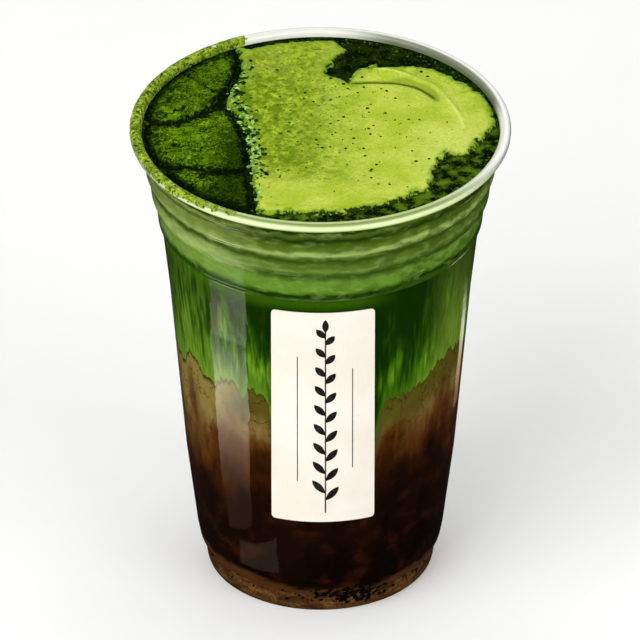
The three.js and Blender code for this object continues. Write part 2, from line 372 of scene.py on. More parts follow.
# %% Clouds: a soft mask of patches, which can be stretched upwards into streaks
def clouds_group():
    tree = bpy.data.node_groups.new("clouds", "ShaderNodeTree")
    tree.interface.new_socket(name="Position", in_out="INPUT", socket_type="NodeSocketVector")
    for name, default in (("Size", 5), ("Tall", 1), ("Low", 0.4), ("High", 0.6), ("Seed", 0)):
        socket = tree.interface.new_socket(name=name, in_out="INPUT", socket_type="NodeSocketFloat")
        socket.default_value = default
    tree.interface.new_socket(name="Mask", in_out="OUTPUT", socket_type="NodeSocketFloat")
    group = Finish(tree)
    given = group.add("NodeGroupInput").outputs
    result = group.add("NodeGroupOutput").inputs
    inverse = group.math("DIVIDE", 1, given["Size"])
    stretch = group.add("ShaderNodeCombineXYZ")
    group.feed(stretch.inputs[0], inverse)
    group.feed(stretch.inputs[1], inverse)
    group.feed(stretch.inputs[2], group.math("DIVIDE", inverse, given["Tall"]))
    scaled = group.add("ShaderNodeVectorMath", operation="MULTIPLY")
    group.feed(scaled.inputs[0], given["Position"])
    group.feed(scaled.inputs[1], stretch.outputs[0])
    shift = group.add("ShaderNodeVectorMath", operation="ADD")
    group.feed(shift.inputs[0], scaled.outputs[0])
    group.feed(shift.inputs[1], given["Seed"])
    texture = group.add("ShaderNodeTexNoise")
    texture.inputs["Scale"].default_value = 1
    texture.inputs["Detail"].default_value = 5
    texture.inputs["Roughness"].default_value = 0.55
    group.feed(texture.inputs["Vector"], shift.outputs[0])
    group.feed(result[0], group.span(texture.outputs[0], given["Low"], given["High"]))
    return tree


CLOUDS = clouds_group()


# %% [markdown]
# ## The cup
# Such a cup is pressed from one thin clear sheet. Its lip is rolled outwards into a curl, three
# rings under it let cups stack, and the floor is raised so that the cup stands on its foot. The
# section runs up the outside, round the curl and down the inside, so that the wall has a real
# thickness that light can bend in.

# %% The cup's section
CURL_SHEET = 0.45
CURL_CENTRE = (RIM_RADIUS - CURL_RADIUS, CUP_HEIGHT - CURL_RADIUS)
CURL_END = -118


def curl_arc(radius, first, last, step=9):
    count = max(2, round(abs(last - first) / step))
    angles = np.radians(np.linspace(first, last, count + 1))
    return [(CURL_CENTRE[0] + radius * math.cos(a), CURL_CENTRE[1] + radius * math.sin(a)) for a in angles]


outside = [(0, HOLLOW_HEIGHT), (HOLLOW_RADIUS, HOLLOW_HEIGHT), (FOOT_INNER, 0), (FOOT_OUTER, 0)]
outside = ease_corners(outside + WALL_PROFILE + [(46.65, 128.6)], 0.45)
curl = curl_arc(CURL_RADIUS - CURL_SHEET, 180, CURL_END) + curl_arc(CURL_RADIUS, CURL_END, 180)
inside = [(46.2, 128.6)] + INNER_PROFILE[::-1]
inside += [(CHANNEL_RADIUS, WALL), (FOOT_INNER + WALL, WALL)]
inside += [(HOLLOW_RADIUS + WALL, HOLLOW_HEIGHT + FLOOR_THICKNESS)]
inside = ease_corners(inside + [(0, HOLLOW_HEIGHT + FLOOR_THICKNESS)], 0.4)
cup = turned("cup_shell", outside[:-1] + curl + inside[1:])
smooth(cup, 35)

# %% [markdown]
# Three clear plastics share the cup's one mesh. The body is quite clear. The rings are slightly
# frosted by the drawing of the sheet, and the curl is milkier still, because the light passes
# several layers of it. Real light reaches a drink through its cup, but Cycles can't find a lamp
# through glass, so the plastic steps aside for shadow and diffuse rays.

# %% Clear plastics
LIP_LOW = 127
LIP_IN = 46
LIP_SPAN = 3
LIP_SKIN = 127.3
CLEAR = srgb(250, 252, 246)

# At the front the green of the drink seen through the curl is painted into it. From below: painted
# shade, a painted highlight on its outer side, a green trough and a painted highlight line at the
# top. Elsewhere it is white, with two soft grey lines of painted shade round its top, and at the
# back right a painted reflection of the drink darkens its inner side.
LIP_PAINTED_BANDS = [
    (0.3, 60, 82, 28), (0.75, 136, 158, 92), (1.2, 226, 244, 184), (1.6, 244, 255, 202),
    (2.15, 232, 248, 190), (2.5, 146, 164, 96), (2.85, 128, 146, 78), (2.97, 208, 224, 160),
]
LIP_RINGS = [
    (0.5, 254, 254, 244), (1.15, 230, 230, 222), (1.6, 255, 255, 253), (2.5, 255, 255, 252),
    (2.78, 196, 194, 190), (2.96, 160, 160, 156),
]


def lip_colours(finish):
    across, away, height = finish.parts(finish.place)
    # Painted shade and painted highlights in bands up the front of the curl
    front = finish.ramp(finish.minus(height, LIP_LOW), 0, LIP_SPAN, LIP_PAINTED_BANDS)
    reach = finish.minus(finish.from_axis(), LIP_IN)
    # Painted reflection of the drink darkens the curl's inner side at the back right
    drink_reflection = finish.times(finish.span(reach, 1.5, 0.8, 0, 0.85), finish.span(across, 2, 20))
    drink_reflection = finish.times(drink_reflection, finish.span(away, 2, 14))
    round_top = finish.coats(finish.ramp(reach, 0, LIP_SPAN, LIP_RINGS), (drink_reflection, 86, 98, 52))
    return finish.blend(finish.span(away, -12, -42), round_top, front)


def clear_plastic(name, clear, rough, waves, banded=False):
    material, finish, shader = new_material(name)
    finish.feed(shader["Base Color"], lip_colours(finish) if banded else CLEAR)
    shader["Transmission Weight"].default_value = clear
    shader["IOR"].default_value = 1.45
    scuffs = finish.clouds(3, 0.45, 0.75, tall=6)
    finish.feed(shader["Roughness"], finish.span(scuffs, 0, 1, rough, rough + 0.06))
    finish.feed(shader["Normal"], finish.bump(finish.clouds(14, 0.2, 0.8, tall=2), waves))
    rays = finish.add("ShaderNodeLightPath").outputs
    through = finish.add("ShaderNodeBsdfTransparent")
    through.inputs[0].default_value = CLEAR
    choice = finish.add("ShaderNodeMixShader")
    finish.feed(choice.inputs[0], finish.math("MAXIMUM", rays["Is Shadow Ray"], rays["Is Diffuse Ray"]))
    finish.feed(choice.inputs[1], material.node_tree.nodes["Principled BSDF"].outputs[0])
    finish.feed(choice.inputs[2], through.outputs[0])
    finish.feed(material.node_tree.nodes["Material Output"].inputs[0], choice.outputs[0])
    return material


cup.data.materials.append(clear_plastic("clear_body", 1, 0.03, 0.07))
cup.data.materials.append(clear_plastic("frosted_rings", 1, 0.08, 0.05))
cup.data.materials.append(clear_plastic("milky_curl", 0.36, 0.12, 0.03, banded=True))
for face in cup.data.polygons:
    height = face.center.z / MM
    if height > LIP_SKIN:
        face.material_index = 2
    elif height > RINGS_START:
        face.material_index = 1

# %% [markdown]
# ## The drink
# Coffee and matcha are turned like the cup, and their walls reach a little into the plastic, so
# that no film of air shows between them. Then their meeting edge is torn: each ring of points
# slides up or down with it. Each point also remembers how far it lies from that edge, which the
# colours need.

# %% Coffee, matcha and the settled layer
MIX_SHARES = [1, 0.93, 0.85, 0.7, 0.5, 0.25]


def on_wall(height):
    return radius_at(INNER_PROFILE, height) + REACH


def mix_point(angle, share, lift):
    edge = mix_height(angle)
    height = MIX_MIDDLE + (edge - MIX_MIDDLE) * share ** 3 + lift
    return share * on_wall(edge), height


def rows_between(low, high, count):
    return [low + (high - low) * step / count for step in range(count + 1)]


def store_depth(piece, values, name="depth"):
    layer = piece.data.attributes.new(name, "FLOAT", "POINT")
    layer.data.foreach_set("value", values)


MEETING_ROWS = [
    (share * on_wall(MIX_HEIGHT), MIX_MIDDLE + (MIX_HEIGHT - MIX_MIDDLE) * share ** 3)
    for share in MIX_SHARES
]


def make_coffee():
    base = DREGS_HEIGHT
    wall_rows = [(on_wall(height), height) for height in rows_between(base, MIX_HEIGHT, 44)]
    piece = turned("coffee_drink", [(0, base)] + wall_rows + MEETING_ROWS[1:] + [(0, MIX_MIDDLE)])
    depths = []
    for vertex in piece.data.vertices:
        point = vertex.co
        angle = front_angle(point)
        edge = mix_height(angle)
        bottom = dregs_height(angle)
        reach = point.xy.length / MM
        height = point.z / MM
        if reach < 0.01:
            depths.append(0.0)
            continue
        if abs(reach - on_wall(height)) < 0.01:
            share = (height - base) / (MIX_HEIGHT - base)
            height = bottom + (edge - bottom) * share
            place(point, angle, on_wall(height), height)
        else:
            share = reach / on_wall(MIX_HEIGHT)
            radius, height = mix_point(angle, share, 0)
            place(point, angle, radius, height)
        depths.append(max(0.0, edge - height))
    store_depth(piece, depths)
    return piece


def make_matcha():
    heights = rows_between(MIX_HEIGHT, RINGS_START, 26)[1:]
    heights += [height for _, height in INNER_PROFILE if RINGS_START < height < DRINK_HEIGHT - 1]
    wall_rows = ease_corners([(on_wall(height), height) for height in heights + [DRINK_HEIGHT]], 0.3, 2)
    section = [(0, MIX_MIDDLE)] + MEETING_ROWS[::-1] + wall_rows + [(0, DRINK_HEIGHT)]
    piece = turned("matcha_drink", section)
    depths = []
    for vertex in piece.data.vertices:
        point = vertex.co
        angle = front_angle(point)
        edge = mix_height(angle)
        reach = point.xy.length / MM
        height = point.z / MM
        if reach > 0.01 and height < MIX_HEIGHT + 0.01:
            share = reach / on_wall(MIX_HEIGHT)
            radius, height = mix_point(angle, share, 0.02)
            place(point, angle, radius, height)
        elif reach > 0.01 and height < RINGS_START - 1:
            share = (height - MIX_HEIGHT) / (RINGS_START - MIX_HEIGHT)
            height = edge + (RINGS_START - edge) * share
            place(point, angle, on_wall(height), height)
        depths.append(max(0.0, height - edge))
    store_depth(piece, depths)
    return piece


def make_dregs():
    floor = HOLLOW_HEIGHT + FLOOR_THICKNESS - REACH
    channel = WALL - REACH
    section = [
        (0, floor), (HOLLOW_RADIUS + WALL, floor), (FOOT_INNER + WALL - REACH, channel),
        (CHANNEL_RADIUS + REACH, channel),
        (on_wall(1.6), 1.6), (on_wall(3), 3), (on_wall(4.2), 4.2), (on_wall(5.5), 5.5), (on_wall(6.2), 6.2),
        (on_wall(DREGS_HEIGHT), DREGS_HEIGHT), (20, DREGS_HEIGHT), (10, DREGS_HEIGHT), (0, DREGS_HEIGHT),
    ]
    piece = turned("settled_dregs", ease_corners(section, 0.2, 2))
    for vertex in piece.data.vertices:
        point = vertex.co
        if point.z / MM > DREGS_HEIGHT - 0.3 and point.xy.length > MM:
            angle = front_angle(point)
            share = min(1.0, point.xy.length / MM / 25)
            height = DREGS_HEIGHT + share * (dregs_height(angle) - DREGS_HEIGHT)
            radius = min(point.xy.length / MM, on_wall(height))
            if share == 1.0:
                radius = on_wall(height)
            place(point, angle, radius, height)
    return piece


coffee = make_coffee()
matcha = make_matcha()
dregs = make_dregs()
for piece in (coffee, matcha, dregs):
    smooth(piece, 60)

# %% [markdown]
# Just under its meeting with the matcha the coffee is milky and olive, with a thin dark line at
# the edge itself. Below that it turns tan, then red-brown, and is almost black in the lower half.
# Clouds shift the depth that the colour is read at, so that no band runs level round the cup.

# %% Coffee colours
def coffee_material():
    material, finish, shader = new_material("coffee")
    across, _, height = finish.parts(finish.place)
    depth = finish.attribute("depth")
    fine = finish.clouds(2.6, 0.35, 0.65, tall=2.2, seed=7)
    drift = finish.plus(finish.wave(finish.clouds(9, 0.3, 0.7, tall=1.7), 13), finish.wave(fine, 3.5))
    drift = finish.times(drift, finish.span(depth, 1, 9))
    # Paler at both sides, darker beside the label
    side = finish.minus(finish.span(across, -34, 12, -6, 5), finish.span(across, 27, 34, 0, 11))
    beside = finish.times(finish.span(across, -27, 10, 0, 7), finish.span(across, 25, 17))
    side = finish.times(finish.plus(side, beside), finish.span(depth, 2, 14))
    read = finish.plus(finish.plus(depth, drift), side)
    read = finish.math("MAXIMUM", read, finish.math("MINIMUM", depth, 3))
    colours = finish.ramp(read, 0, 60, [
        (0, 64, 60, 18), (0.72, 72, 66, 22), (1.8, 138, 122, 62), (6, 124, 100, 52), (12, 98, 70, 34),
        (18, 78, 44, 14), (25.2, 50, 23, 6), (34.8, 24, 9, 3), (60, 10, 4, 2),
    ])
    # Painted reddish glints in the dark coffee
    painted_glints = finish.clouds(8, 0.5, 0.8, tall=0.8, seed=21)
    olive = finish.times(finish.span(across, -26, -19, 0, 0.9), finish.span(depth, 13, 5))
    wisps = finish.math("ABSOLUTE", finish.wave(finish.clouds(7, 0.48, 0.51, tall=1.5, seed=3), 2))
    silt = finish.plus(height, finish.wave(finish.clouds(8, 0.3, 0.7, tall=0.5, seed=25), 1.6))
    silt = finish.minus(silt, finish.span(across, -2, -24, 0, 2.4))
    silt = finish.minus(silt, finish.span(across, 12, 26, 0, 1.2))
    colours = finish.coats(
        colours,
        (finish.times(painted_glints, finish.span(depth, 16, 30, 0, 0.9)), 58, 23, 8),
        (olive, 78, 70, 19),
        (finish.times(finish.minus(1, wisps), finish.span(depth, 30, 10, 0, 0.85)), 46, 30, 8),
        (finish.span(silt, 8.8, 6.4, 0, 0.9), 80, 48, 21),
    )
    dress(finish, shader, colours, 0.6, 0, fine, 0.08)
    return material


coffee.data.materials.append(coffee_material())

# %% [markdown]
# The matcha is brightest just above the coffee, where it is stirred thin. Higher up it is deep
# green with upright streaks that run down from the surface, and in the rings it is a pale yellow
# green, with lines of painted shade under each ring and painted highlights. Its own surface shows
# between foam and wall.

# %% Matcha colours
RING_LOW = 101
RING_SPAN = 27

# Painted shade: dark lines where a ring steps out and shades the wall below it, and the shadow
# under the curl at the top. Paler green between them, with painted highlights on the rings' edges,
# and on the left the stripes are paler still with painted highlight.
RING_STRIPES = [
    (101, 47, 84, 4), (102.8, 40, 76, 4), (103.3, 14, 42, 0), (103.9, 16, 46, 0),
    (104.4, 66, 104, 20), (105.2, 98, 138, 44), (108.4, 104, 142, 50), (109.5, 70, 100, 26),
    (110.5, 46, 74, 10), (111.3, 68, 94, 30), (112.3, 110, 138, 60), (113.3, 86, 114, 38),
    (114.5, 82, 108, 34), (115.8, 44, 68, 10), (116.7, 86, 110, 40), (117.9, 162, 184, 104),
    (118.6, 150, 174, 96), (119.4, 92, 116, 40), (121.6, 66, 90, 20), (122.8, 28, 50, 1),
    (123.5, 32, 54, 2), (124.3, 72, 94, 30), (125, 78, 98, 36), (125.5, 18, 36, 0),
]
LEFT_HIGHLIT_STRIPES = [
    (101, 66, 104, 16), (103.2, 30, 62, 1), (104.2, 38, 72, 2), (106, 118, 150, 60),
    (109.2, 120, 150, 62), (110, 158, 181, 102), (112.7, 160, 183, 106), (114.5, 134, 158, 82),
    (115.8, 52, 76, 14), (116.3, 56, 80, 16), (117, 128, 150, 74), (118, 152, 173, 98),
    (119.5, 126, 148, 74), (121.7, 114, 134, 64), (122.6, 70, 90, 26), (123.5, 90, 110, 44),
    (124.3, 128, 150, 80), (124.9, 90, 112, 46), (125.4, 20, 40, 1),
]


def body_colours(finish, across, height, streaks):
    depth = finish.attribute("depth")
    broad = finish.clouds(5, 0.35, 0.65, tall=5, seed=11)
    drift = finish.plus(finish.wave(streaks, 14), finish.wave(broad, 14))
    read = finish.plus(depth, finish.times(drift, finish.span(depth, 0.5, 8)))
    read = finish.plus(read, finish.span(across, -26, -19, 0, 4))
    read = finish.plus(read, finish.span(across, 8, 14, 0, 5))
    read = finish.minus(read, finish.span(across, 21, 27, 0, 6))
    colours = finish.ramp(read, 0, 50, [
        (0, 122, 156, 52), (3, 106, 146, 36), (9, 66, 108, 12), (17, 34, 70, 3), (27.5, 16, 43, 1),
        (50, 13, 40, 1),
    ])
    left = finish.times(finish.span(across, -23, -32), finish.span(streaks, 0, 1, 0.95, 0.2))
    lines = finish.clouds(0.55, 0.35, 0.65, tall=26, seed=17)
    return finish.coats(
        colours,
        (finish.times(left, finish.span(depth, 26, 8, 0.45, 1)), 102, 140, 38),
        (finish.times(finish.span(across, 26, 35), finish.span(depth, 28, 4, 0.3, 1)), 112, 142, 46),
        (finish.times(lines, 0.35), 14, 38, 2),
        (finish.times(finish.span(height, 97, 101, 0, 0.6), finish.span(across, 22, 8)), 60, 102, 8),
    )


def ring_colours(finish, across, height):
    level = finish.plus(height, finish.wave(finish.clouds(5, 0.3, 0.7, seed=41), 0.9))
    level = finish.minus(level, finish.span(across, 6, 32, 0, 1.2))
    stripes = finish.ramp(level, RING_LOW, RING_SPAN, RING_STRIPES)
    highlit_stripes = finish.ramp(level, RING_LOW, RING_SPAN, LEFT_HIGHLIT_STRIPES)
    smears = finish.clouds(4.5, 0.42, 0.62, tall=0.4, seed=33)
    pale_smears = finish.clouds(4, 0.52, 0.68, tall=0.45, seed=39)
    patches = finish.clouds(4, 0.46, 0.6, tall=0.7, seed=27)
    return finish.coats(
        # Paler on the left, where the stripes carry a painted highlight
        finish.blend(finish.span(across, -12, -33), stripes, highlit_stripes),
        (finish.times(smears, 0.25), 56, 84, 16),
        (finish.times(pale_smears, 0.2), 164, 184, 112),
        (finish.times(patches, finish.span(across, -8, 28, 0.1, 0.55)), 52, 76, 12),
    )


def matcha_material():
    material, finish, shader = new_material("matcha")
    across, _, height = finish.parts(finish.place)
    streaks = finish.clouds(1.5, 0.36, 0.64, tall=14)
    body = body_colours(finish, across, height, streaks)
    rings = ring_colours(finish, across, height)
    colours = finish.blend(finish.span(height, RINGS_START - 0.6, RINGS_START), body, rings)
    dress(finish, shader, colours, 0.6, 0, streaks, 0.06)
    return material


def surface_material():
    material, finish, shader = new_material("matcha_surface")
    across, away, _ = finish.parts(finish.place)
    swirls = finish.clouds(3, 0.42, 0.66, seed=4)
    swirls = finish.times(swirls, finish.span(away, 18, -4, 0.12, 1))
    swirls = finish.times(swirls, finish.span(across, -17, -10, 0.1, 1))
    colours = finish.coats(
        finish.blend(swirls, srgb(5, 21, 1), srgb(84, 114, 20)),
        (finish.times(finish.clouds(0.8, 0.58, 0.66, seed=9), 0.42), 84, 116, 22),
    )
    dress(finish, shader, colours, finish.span(swirls, 0, 1, 0.25, 0.5), 0, swirls, 0.25)
    return material


matcha.data.materials.append(matcha_material())
matcha.data.materials.append(surface_material())
for face in matcha.data.polygons:
    if face.center.z / MM > DRINK_HEIGHT - 0.01:
        face.material_index = 1

# %% [markdown]
# The settled layer is a lighter, muddy brown. Dark coffee grounds lie in it, thickest a little
# right of the front, so they are made as one joined mesh of small uneven grains at the wall.

# %% Colours of the settled layer
def dregs_material():
    material, finish, shader = new_material("dregs")
    across, _, height = finish.parts(finish.place)
    grit = finish.clouds(0.7, 0.5, 0.62, seed=5)
    middle = finish.times(finish.span(across, -8, 2), finish.span(across, 22, 12))
    middle = finish.times(middle, finish.span(height, 3, 6))
    shade = finish.clouds(6, 0.46, 0.6, tall=0.5, seed=15)
    colours = finish.coats(
        finish.blend(finish.clouds(5, 0.35, 0.65, tall=0.3), srgb(72, 44, 19), srgb(116, 80, 43)),
        (finish.times(finish.span(across, -4, -26, 0, 0.6), grit), 96, 46, 14),
        (finish.times(middle, 0.8), 34, 18, 8),
        (finish.times(shade, 0.5), 60, 34, 14),
        (finish.times(grit, 0.55), 34, 20, 10),
    )
    dress(finish, shader, colours, 0.6, 0, grit, 0.08)
    return material


dregs.data.materials.append(dregs_material())

# %% [markdown]
# ## Toppings
# Foam and crust are rafts with torn edges. Each starts as a fine grid. Every point of the grid
# knows how far it lies inside the raft's outline, and that distance, roughened a little, gives
# the height: full inside, and sinking below the liquid outside. So the shore is drawn by the
# liquid itself, as on the real drink. What lies well outside is cut away.

# %% Outlines seen from above, in millimetres
FOAM_LEFT = [
    (-21.4, 39.4), (-20.1, 27.5), (-22.7, 18.8), (-24, 12.1), (-19.1, 2.4),
    (-18.1, -6.8), (-17.3, -17.4), (-17, -25.6), (-16, -40.6),
]
FOAM_FRONT = [
    (-4.5, -40.4), (2.6, -41.2), (10, -38.9), (18.8, -35.4), (23.8, -31), (28.4, -29.5), (28.8, -18.8),
]
FOAM_BAY = [(33, -11.2), (37.8, -13.1), (40, -7.4), (43.2, -2), (45, 2.3), (44.3, 9.2)]
FOAM_BACK = [(42.2, 15.2), (38.8, 20.3), (33.4, 25.3), (29.4, 28.7), (24.4, 30.6), (17.8, 30.2)]
FOAM_NOTCH = [
    (12.5, 29.3), (15.2, 32.1), (9.7, 28.8), (6.9, 23), (0.5, 26.8), (3.3, 32.1), (6.5, 38.1),
]
RIDGE = [(14.5, 27.8), (19.1, 27.1), (24.8, 23.2), (30, 18.5), (35.4, 6), (36.8, 0)]
FURROW = [(8.1, 22.5), (13.1, 23.2), (19.5, 22.8), (24.8, 20.5), (29, 15.9), (31.5, 11.2)]
BACK_CREASE = [(-43.9, 4.4), (-40.3, 2.4), (-35, 4.9), (-29, 9.7), (-25.3, 18), (-23, 24.5), (-22.2, 33.1)]
MIDDLE_CREASE = [(-43.9, 2.4), (-40.3, 0.6), (-34.8, 3), (-29.1, 6.9), (-25.4, 9.8)]
MIDDLE_RIGHT = [(-21.6, 2.6), (-20.3, -6.8), (-19.4, -14), (-19.4, -20.4)]
MIDDLE_FRONT = [(-26.5, -21), (-32.2, -18.9), (-39.6, -18.2)]
FRONT_CREASE = [(-39, -20), (-32.2, -20.5), (-26.5, -22.6), (-19.2, -22.4)]
FRONT_RIGHT = [(-18.8, -30.4), (-17.8, -40.4)]
SHORE_RADIUS = 45.2
FOAM_BACK_RADIUS = 42.8


def flowing(points, steps=6):
    """A smooth line through the points."""
    padded = [points[0]] + points + [points[-1]]
    line = []
    for a, b, c, d in zip(padded, padded[1:], padded[2:], padded[3:]):
        a, b, c, d = (np.array(entry, float) for entry in (a, b, c, d))
        for step in range(steps):
            t = step / steps
            line.append(0.5 * (
                2 * b + (c - a) * t + (2 * a - 5 * b + 4 * c - d) * t ** 2
                + (3 * b - a - 3 * c + d) * t ** 3))
    return [tuple(point) for point in line] + [points[-1]]


def shore(first, last, radius=SHORE_RADIUS):
    """Part of a circle along the wall, between two angles counted from +X."""
    angles = np.radians(np.linspace(first, last, max(3, round(abs(last - first) / 4))))
    return [(radius * math.cos(a), radius * math.sin(a)) for a in angles]


FOAM_OUTLINE = flowing(FOAM_LEFT) + FOAM_FRONT + FOAM_BAY + FOAM_BACK + FOAM_NOTCH
FOAM_OUTLINE += shore(85, 115, FOAM_BACK_RADIUS)
LOBES = {
    "back": flowing(BACK_CREASE) + shore(120, 172),
    "middle": flowing(MIDDLE_CREASE) + MIDDLE_RIGHT + flowing(MIDDLE_FRONT) + shore(203, 179),
    "front": flowing(FRONT_CREASE) + FRONT_RIGHT + shore(245, 209),
}


# %% Distances
def line_distance(places, line):
    """Distance of many places to a line of points."""
    nearest = np.full(len(places), np.inf)
    for start, end in zip(line, line[1:]):
        start = np.array(start)
        along = np.array(end) - start
        share = np.clip(((places - start) @ along) / max(along @ along, 1e-9), 0, 1)
        gaps = np.linalg.norm(places - start - share[:, None] * along, axis=1)
        nearest = np.minimum(nearest, gaps)
    return nearest


def inside_distance(places, outline):
    """Distance to an outline, positive inside it and negative outside."""
    closed = list(outline) + [outline[0]]
    inside = np.zeros(len(places), bool)
    x, y = places[:, 0], places[:, 1]
    for (x0, y0), (x1, y1) in zip(closed, closed[1:]):
        crosses = (y0 > y) != (y1 > y)
        with np.errstate(divide="ignore", invalid="ignore"):
            at = (x1 - x0) * (y - y0) / (y1 - y0) + x0
        inside ^= crosses & (x < at)
    return np.where(inside, 1, -1) * line_distance(places, closed)


def rough(places, size, seed):
    """Smooth random values, about -1 to 1, for many places."""
    return np.array([noise.noise(Vector((x / size, y / size, seed))) for x, y in places])


def soft_step(value, low, high):
    share = np.clip((value - low) / (high - low), 0, 1)
    return share * share * (3 - 2 * share)


# %% Rafts
RAFT_CELL = 0.42
RAFT_SINK = 0.9
RAFT_MARGIN = 1.5
RAFT_CUT = -0.75


def raft(name, outline, thickness, tear, relief_at, painted_shading_at, seed):
    """A raft of grid points whose height follows the distance to its torn outline."""
    corners = np.array(outline)
    low = corners.min(axis=0) - RAFT_MARGIN
    high = corners.max(axis=0) + RAFT_MARGIN
    size = high - low
    piece = new_grid(name, int(size[0] / RAFT_CELL), int(size[1] / RAFT_CELL))
    mesh = piece.data
    flat = np.array([vertex.co.xy for vertex in mesh.vertices])
    places = flat * size + (low + high) / 2
    inside = inside_distance(places, outline)
    torn = inside + 0.25 + tear * (rough(places, 2.4, seed) + 0.8 * rough(places, 1.3, seed + 3))
    torn = np.minimum(torn, SHORE_RADIUS - np.linalg.norm(places, axis=1))
    edge = soft_step(torn, -0.6, 0.55)
    heights = DRINK_HEIGHT - RAFT_SINK + edge * (RAFT_SINK + thickness + relief_at(places, inside))
    for vertex, (x, y), z in zip(mesh.vertices, places, heights):
        vertex.co = (x * MM, y * MM, z * MM)
    store_depth(piece, torn)
    store_depth(piece, painted_shading_at(places), "groove_shading")
    cut_away(piece, torn < RAFT_CUT)
    if mesh.polygons[0].normal.z < 0:
        mesh.flip_normals()
    thicken(piece, 0.5)
    smooth(piece, 60)
    print(name, "has", len(mesh.polygons), "faces")
    return piece


def end_distance(places, line):
    return line_distance(places, [line[-1], line[-1]])


def foam_relief(places, inside):
    raised = 0.75 * hump(line_distance(places, flowing(RIDGE)), 1.1)
    raised *= soft_step(end_distance(places, RIDGE), 0, 8)
    sunk = 0.85 * hump(line_distance(places, flowing(FURROW)), 1.3)
    sunk *= soft_step(end_distance(places, FURROW), 0, 6)
    swept = soft_step(places[:, 0], -2, 16)
    lumps = (0.16 * rough(places, 3.4, 1) + 0.07 * rough(places, 1.2, 2)) * (1 - 0.6 * swept)
    waves = 0.1 * rough(places, 11, 5)
    lip = 0.22 * hump(inside - 1.6, 1.1)
    return raised - sunk + lumps + waves + lip


def foam_painted_shading(places):
    """Painted shade under the furrow's upper bank, and a painted highlight on the ridge's crest."""
    furrow = line_distance(places, flowing(FURROW))
    ridge = line_distance(places, flowing(RIDGE))
    between = np.clip(3.4 - furrow - 0.55 * ridge, 0, 1)
    dark = np.maximum(hump(furrow, 0.62), 0.5 * between)
    return dark * soft_step(end_distance(places, FURROW), 0, 6) - 0.9 * hump(ridge, 0.6)


foam = raft("foam_raft", FOAM_OUTLINE, 0.9, 0.75, foam_relief, foam_painted_shading, 10)


def cracks(places, seed):
    """Narrow valleys between lumps, 1 in a crack and 0 away from it."""
    bent = rough(places, 9, seed) + 0.25 * rough(places, 1.6, seed + 5)
    return hump(bent, 0.09) * soft_step(rough(places, 4, seed + 9), -0.3, 0.2)


def crust_lobe(number, name, outline):
    seed = 20 + 7 * number

    def relief(places, inside):
        lumps = 0.36 * rough(places, 3.2, seed) + 0.22 * rough(places, 1.4, seed + 1)
        lumps = lumps + 0.12 * rough(places, 0.7, seed + 2)
        return 0.5 * soft_step(inside, 0, 7) + lumps - 0.35 * cracks(places, seed)

    def groove_shading(places):
        return cracks(places, seed)

    return raft("crust_lobe_" + name, outline, 0.9, 0.5, relief, groove_shading, 40 + number)


crusts = [crust_lobe(number, *lobe) for number, lobe in enumerate(LOBES.items())]

# %% [markdown]
# Foam is paler where it lies thick and smooth, on the right, and darker and mottled on the left,
# where powder has soaked into it. Its torn shore is deep green, and its ridge and furrow carry a
# painted highlight and painted shade. Crust is dark powder: mid green on its lumps and nearly black
# at the edges, with painted shade in its creases, along the wall and at the back under the rim.

# %% Foam and crust colours
def foam_material():
    material, finish, shader = new_material("foam")
    across, away, _ = finish.parts(finish.place)
    inside = finish.attribute("depth")
    groove_shading = finish.attribute("groove_shading")
    mottle = finish.clouds(2.6, 0.36, 0.64)
    broad = finish.clouds(8, 0.35, 0.65, seed=3)
    fine = finish.clouds(0.7, 0.4, 0.62, seed=6)
    dabs = finish.clouds(1.5, 0.55, 0.62, seed=31)
    pores = finish.clouds(0.32, 0.3, 0.6, seed=2)
    pale = finish.math("MAXIMUM", finish.span(across, -16, 18), finish.span(away, -12, -32))
    pale = finish.math("MAXIMUM", pale, finish.span(away, 18, 32, 0, 0.35))
    left = finish.blend(mottle, srgb(102, 132, 0), srgb(178, 202, 42))
    right = finish.blend(broad, srgb(178, 202, 52), srgb(202, 219, 82))
    fringe = finish.math("MULTIPLY_ADD", dabs, -2, finish.times(mottle, -2))
    fringe = finish.span(finish.plus(inside, fringe), 2.5, 0, 0, 0.55)
    green = finish.plus(inside, finish.wave(fine, 0.6))
    green = finish.plus(green, finish.math("MULTIPLY_ADD", mottle, 1.2, -0.8))
    colours = finish.coats(
        finish.blend(pale, left, right),
        (finish.times(finish.span(across, 20, 32, 0, 0.75), finish.span(away, 8, -6)), 214, 228, 106),
        (finish.times(fine, finish.span(pale, 0, 1, 0.65, 0.14)), 96, 128, 2),
        (finish.times(dabs, finish.span(pale, 0.2, 1, 0.75, 0.12)), 88, 118, 4),
        # Painted shade in the furrow and on the ridge's flank, and a painted highlight on its crest
        (finish.span(groove_shading, 0.1, 0.5, 0, 0.8), 138, 158, 36),
        (finish.span(groove_shading, 0.5, 0.95, 0, 0.95), 48, 76, 6),
        (finish.span(groove_shading, -0.25, -0.8, 0, 0.8), 214, 232, 118),
        (finish.times(fringe, finish.span(away, 0, 12)), 138, 166, 36),
        (finish.span(green, 1.5, 0.3, 0, 0.75), 112, 156, 14),
        (finish.span(green, 0.25, -0.25, 0, 0.95), 14, 38, 2),
    )
    dress(finish, shader, colours, 0.7, 0.1, finish.plus(pores, fine), 0.07)
    return material


